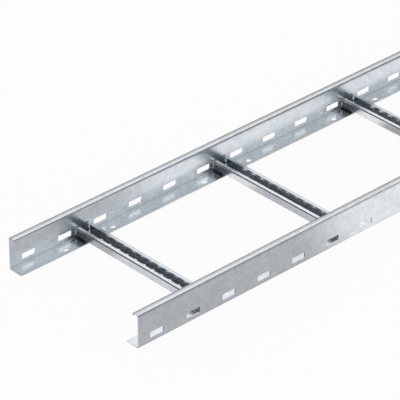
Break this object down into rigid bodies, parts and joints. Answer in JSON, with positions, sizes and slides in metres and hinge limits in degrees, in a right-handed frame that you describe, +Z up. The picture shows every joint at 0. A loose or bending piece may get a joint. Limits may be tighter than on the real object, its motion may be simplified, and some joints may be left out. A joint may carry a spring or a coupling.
{
  "type": "cable ladder section",
  "caption": "Straight cable ladder section of galvanised sheet steel: two slotted C-section side rails with lipped, perforated channel rungs welded between them.",
  "frame": {"origin": "centre of the footprint, on the surface that the bottom flanges rest on", "axes": "+X along the run, +Y across the ladder to the back rail, +Z up out of the open cable bed"},
  "size_m": [3, 0.3, 0.06],
  "materials": {
    "rail_steel": "pre-galvanised sheet steel, softly glossy, faint rolling lines and fine spangle",
    "rung_steel": "pre-galvanised sheet steel, softly glossy, faint rolling lines and fine spangle"
  },
  "bodies": {
    "root": {"side_rail_front": "rail_steel", "side_rail_back": "rail_steel", "rung_01": "rung_steel", "rung_02": "rung_steel", "rung_03": "rung_steel", "rung_04": "rung_steel", "rung_05": "rung_steel", "rung_06": "rung_steel", "rung_07": "rung_steel", "rung_08": "rung_steel", "rung_09": "rung_steel", "rung_10": "rung_steel"}
  },
  "joints": []
}
